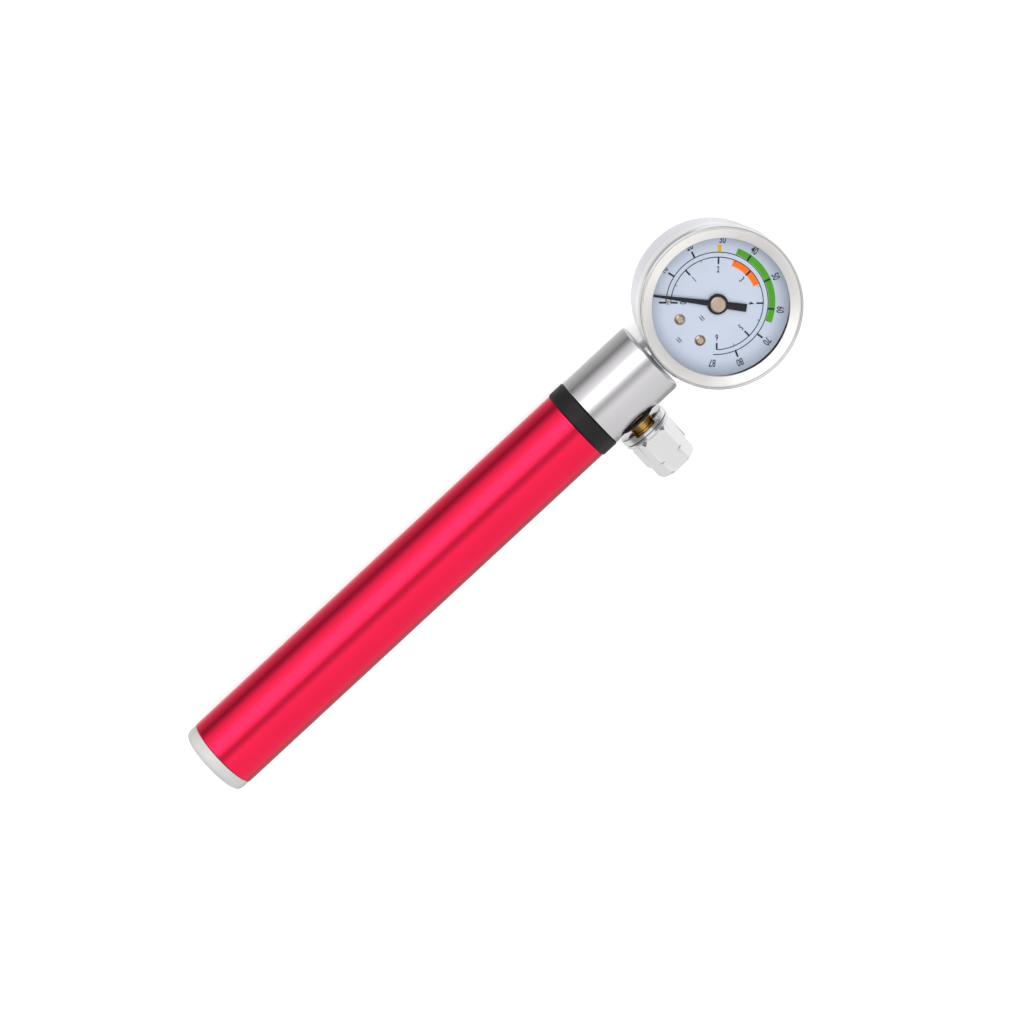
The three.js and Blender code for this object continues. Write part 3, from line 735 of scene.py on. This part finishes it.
def band(name, r_low, r_high, start, end, lift=0.0):
    steps = max(4, int(abs(end - start) / 1.5))
    angles = [start + (end - start) * i / steps for i in range(steps + 1)]
    outline = [on_dial(r_high, a) for a in angles] + [on_dial(r_low, a) for a in reversed(angles)]
    return flat(name, outline, DIAL_TOP + lift, DIAL_TOP + INK + lift, DIAL_CENTRE)


def tick(name, r_low, r_high, angle, width, lift=0.0):
    half = width / 2
    outline = [(r_low, -half), (r_high, -half), (r_high, half), (r_low, half)]
    return flat(name, outline, DIAL_TOP + lift, DIAL_TOP + INK + lift, DIAL_CENTRE, math.radians(-angle))


def label(text, radius, angle, size):
    """Raised ink figures on the dial, narrow and bold, with their tops away from its centre."""
    curve = bpy.data.curves.new("label", "FONT")
    curve.body = text
    curve.size = size * MM
    curve.align_x = "CENTER"
    curve.align_y = "CENTER"
    curve.extrude = INK / 2 * MM
    curve.offset = 0.04 * MM
    obj = bpy.data.objects.new("label", curve)
    bpy.context.scene.collection.objects.link(obj)
    x, y = on_dial(radius, angle)
    obj.location = DIAL_CENTRE + Vector((x, y, DIAL_TOP + INK)) * MM
    obj.rotation_euler = (0, 0, math.radians(-angle - 90))
    obj.scale = (FIGURE_NARROWING, 1, 1)
    bpy.context.view_layer.update()
    graph = bpy.context.evaluated_depsgraph_get()
    mesh = bpy.data.meshes.new_from_object(obj.evaluated_get(graph))
    mesh.transform(obj.matrix_world)
    bpy.data.objects.remove(obj)
    figure = bpy.data.objects.new("label_mesh", mesh)
    bpy.context.scene.collection.objects.link(figure)
    return figure


def printed(obj, ink):
    obj.data.materials.clear()
    obj.data.materials.append(INKS[ink])
    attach(obj, HEAD)
    return obj


def build_dial():
    back = (low("dial_plate").z - AXIS_Z) / MM
    disc = turned("dial_face", UP_GAUGE, [
        (DIAL_HOLE_R, back), (DIAL_R, back, 0.05), (DIAL_R, DIAL_TOP, 0.05),
        (DIAL_HOLE_R, DIAL_TOP, 0.05),
    ])
    fitted(disc, HEAD, "dial_paint", "dial_plate")

    end = at_bar(6)
    lines = [
        band("line", radius - LINE_HALF, radius + LINE_HALF, SCALE_START, arc_end)
        for radius, arc_end in ((OUTER_ARC_R, OUTER_ARC_END), (INNER_ARC_R, end))
    ]
    for psi in (0, 10, 20, 40, 50, 60, 70, 80):
        lines.append(tick("line", OUTER_ARC_R, 15.3, at_psi(psi), 0.5, OVER_BANDS))
    for bar_value in range(0, 7):
        lines.append(tick("line", 10.4, INNER_ARC_R, at_bar(bar_value), 0.46, OVER_BANDS))
    for bar_value in range(0, 6):
        lines.append(tick("line", 11.5, INNER_ARC_R, at_bar(bar_value + 0.5), 0.16, OVER_BANDS))
    for radius in (5.5, 13.75):  # a plain double dash below each scale
        for offset in (-0.3, 0.3):
            dash = radius + offset
            lines.append(tick("line", dash - LINE_HALF, dash + LINE_HALF, 179, 1.5))
    printed(joined("dial_lines", lines), "ink_black")

    figures = [
        label(str(psi), OUTER_FIGURE_R, at_psi(psi), OUTER_FIGURE_SIZE) for psi in range(10, 90, 10)
    ]
    figures.append(label("87", 15.7, OUTER_ARC_END, OUTER_FIGURE_SIZE))
    figures += [
        label(str(value), INNER_FIGURE_R, at_bar(value), INNER_FIGURE_SIZE) for value in range(0, 7)
    ]
    printed(joined("dial_figures", figures), "ink_black")

    printed(band("green_band", 13.7, 15.4, -27, 63), "ink_green")
    printed(band("orange_band", 10.5, 12.1, -27, 18.5), "ink_orange")
    printed(tick("yellow_mark", 13.6, 15.4, -45.5, 0.95), "ink_yellow")


def build_dial_hardware():
    for i in (1, 2):
        node = f"dial_screw_{i}"
        centre = middle(node)
        place = (Vector((centre.x, centre.y, AXIS_Z)), "z")
        screw = turned(f"dial_screw_head_{i}", place, [
            (0, 5.4), (0.75, 5.4), (0.75, DIAL_TOP + 0.04), (1.45, DIAL_TOP + 0.04, 0.1), (1.42, 8.15, 0.3),
            (0.8, 8.5, 0.3), (0, 8.55),
        ], SMALL)
        top = Vector((centre.x, centre.y, AXIS_Z + 8.6 * MM))
        tilt = math.radians(25 + 40 * i)
        combine(screw, [
            bar("slot_cutter", (1.8, 0.34, 1.0), top, tilt),
            bar("crossed_cutter", (1.8, 0.34, 1.0), top, tilt + math.pi / 2),
        ])
        smooth(screw, 30)
        fitted(screw, HEAD, "pale_brass", node)
    centre = middle("stop_pin")
    pin = turned("zero_stop", (Vector((centre.x, centre.y, AXIS_Z)), "z"), [
        (0, 6.3), (0.42, 6.3), (0.42, 8.6, 0.2), (0, 8.6),
    ], SMALL)
    fitted(pin, HEAD, "pale_brass", "stop_pin")


NEEDLE_REST = math.radians(129)
NEEDLE_REACH = 17.3
NEEDLE_TAIL = 7.7


def build_needle():
    z_low = (low("pointer").z - AXIS_Z) / MM
    hub, blade_root = (high("pointer_boss").x - low("pointer_boss").x) / 2 / MM + 0.7, 16
    hub_side = [(hub * math.cos(math.radians(a)), hub * math.sin(math.radians(a)))
                for a in range(blade_root, 161, 6)]
    upper = [(NEEDLE_REACH, 0.25), *hub_side, (-NEEDLE_TAIL, 1.05)]
    lower = [(x, -y) for x, y in reversed(upper)]
    needle = flat("needle_blade", upper + lower, z_low, z_low + 0.3, DIAL_CENTRE, NEEDLE_REST)
    ease_edges(needle, 0.05, 2)
    fitted(needle, NEEDLE, "pointer_paint", "pointer")
    boss_low = (low("pointer_boss").z - AXIS_Z) / MM
    boss_high = (high("pointer_boss").z - AXIS_Z) / MM
    boss = turned("needle_boss", UP_GAUGE, [
        (0, boss_low), (2.05, boss_low), (2.05, boss_high - 0.1, 0.15), (1.75, boss_high, 0.1),
        (0.75, boss_high, 0.05), (0.7, boss_high - 0.12), (0, boss_high - 0.1),
    ], MIDDLE)
    fitted(boss, NEEDLE, "pale_brass", "pointer_boss")


# ---------------------------------------------------------------- stage, light and camera
# Bands of light round the barrel's axis, as strip lights and cards over a table give: degrees from
# straight up towards +Y, and brightness. They were set from the brightness seen round the barrel
# and the head, and then tuned.
STUDIO_BANDS = [
    (-180, 1.0), (-165, 0.6), (-150, 0.45), (-135, 0.4), (-122, 0.5), (-108, 0.78), (-88, 0.86),
    (-50, 0.9), (-18, 1.0), (-9, 0.78), (-1, 0.55), (7, 0.6), (16, 1.1), (24, 1.85), (48, 1.85),
    (58, 1.1), (80, 0.76), (92, 0.42), (103, 0.24), (114, 0.42), (140, 0.6), (165, 0.75), (180, 1.0),
]
# Past the ends of the strips there is the pale table, below, and a dark card above it.
NEAR_END, FAR_END = 0.84, 1.02  # the table's brightness towards -X and +X
END_CARD = 0.28
END_FADE = (0.32, 0.46)  # where the strips give way to the ends, as a share of looking along X
TABLE_FADE = (-0.2, 0.2)
CARD_FADE = (-0.3, 0.25)


def build_world():
    world = bpy.data.worlds.new("studio")
    bpy.context.scene.world = world
    world.use_nodes = True
    nodes, links = world.node_tree.nodes, world.node_tree.links
    background = nodes["Background"]
    place = nodes.new("ShaderNodeTexCoord")
    split = nodes.new("ShaderNodeSeparateXYZ")
    turn = nodes.new("ShaderNodeMath")
    turn.operation = "ARCTAN2"
    share = nodes.new("ShaderNodeMapRange")
    share.inputs["From Min"].default_value = -math.pi
    share.inputs["From Max"].default_value = math.pi
    ramp = nodes.new("ShaderNodeValToRGB")
    elements = ramp.color_ramp.elements
    while len(elements) < len(STUDIO_BANDS):
        elements.new(0.5)
    brightest = max(level for _, level in STUDIO_BANDS)
    for element, (angle, level) in zip(elements, STUDIO_BANDS):
        element.position = (angle + 180) / 360
        element.color = (*[level / brightest] * 3, 1)
    links.new(place.outputs["Generated"], split.inputs["Vector"])
    links.new(split.outputs["Y"], turn.inputs[0])
    links.new(split.outputs["Z"], turn.inputs[1])
    links.new(turn.outputs["Value"], share.inputs["Value"])
    links.new(share.outputs["Result"], ramp.inputs["Fac"])
    size = nodes.new("ShaderNodeMath")
    size.operation = "ABSOLUTE"
    links.new(split.outputs["X"], size.inputs[0])

    def share_of(value, start, end):
        remap = nodes.new("ShaderNodeMapRange")
        remap.interpolation_type = "SMOOTHSTEP"
        remap.inputs["From Min"].default_value = start
        remap.inputs["From Max"].default_value = end
        links.new(value, remap.inputs["Value"])
        return remap.outputs["Result"]

    def grey(level):
        return (*[level / brightest] * 3, 1)

    def mixed(factor, a, b):
        mix = nodes.new("ShaderNodeMix")
        mix.data_type = "RGBA"
        links.new(factor, mix.inputs["Factor"])
        for socket, value in (("A", a), ("B", b)):
            if isinstance(value, tuple):
                mix.inputs[socket].default_value = value
            else:
                links.new(value, mix.inputs[socket])
        return mix.outputs["Result"]

    table = mixed(share_of(split.outputs["X"], *TABLE_FADE), grey(NEAR_END), grey(FAR_END))
    ends = mixed(share_of(split.outputs["Z"], *CARD_FADE), table, grey(END_CARD))
    whole = mixed(share_of(size.outputs["Value"], *END_FADE), ramp.outputs["Color"], ends)
    links.new(whole, background.inputs["Color"])
    background.inputs["Strength"].default_value = brightest


def build_floor():
    size = 3.0
    mesh = bpy.data.meshes.new("floor")
    corners = [(-size, -size), (size, -size), (size, size), (-size, size)]
    mesh.from_pydata([(x, y, -0.0002) for x, y in corners], [], [(0, 1, 2, 3)])
    floor = bpy.data.objects.new("floor", mesh)
    bpy.context.scene.collection.objects.link(floor)
    shade = Shade("floor_paint", (0.9, 0.9, 0.9), 0.6)
    shade.bsdf.inputs["Emission Color"].default_value = (1, 1, 1, 1)
    shade.bsdf.inputs["Emission Strength"].default_value = 0.3
    shade.vary_roughness(shade.noise(30), 0.55, 0.65)
    mesh.materials.append(shade.material)
    floor.visible_glossy = False


def build_light():
    lamp = bpy.data.lights.new("overhead", "AREA")
    lamp.shape = "DISK"
    lamp.size = 1.6
    lamp.energy = 22
    overhead = bpy.data.objects.new("overhead", lamp)
    overhead.location = (0.1, 0.15, 1.4)
    overhead.visible_glossy = False
    bpy.context.scene.collection.objects.link(overhead)


# Where the camera stands, in millimetres from the middle of the cap's outer face. The place, the
# directions and the lens were fitted to the object's outlines.
CAMERA_PLACE = Vector((172.1, 185.6, 823.5))
CAMERA_FORWARD = Vector((-0.0795, -0.2244, -0.9713))
CAMERA_UP = Vector((0.6775, 0.7025, -0.2177))
CAMERA_LENS = 112.66


def build_camera():
    data = bpy.data.cameras.new("camera")
    data.sensor_width = 36
    data.lens = CAMERA_LENS
    data.clip_start = 0.01
    camera = bpy.data.objects.new("camera", data)
    bpy.context.scene.collection.objects.link(camera)
    back = -CAMERA_FORWARD.normalized()
    right = CAMERA_UP.cross(back).normalized()
    up = back.cross(right)
    turn = Matrix((right, up, back)).transposed().to_4x4()
    spot = Vector((CAP_FACE, AXIS_Y, AXIS_Z)) + CAMERA_PLACE * MM
    camera.matrix_world = Matrix.Translation(spot) @ turn
    bpy.context.scene.camera = camera


build_camera()
dress_cad_nodes()
build_handle()
build_rod()
build_check_spring()
build_head()
build_chuck()
build_gauge_shell()
build_dial()
build_dial_hardware()
build_needle()
build_world()
build_floor()
build_light()
bpy.context.scene.view_settings.view_transform = "Standard"
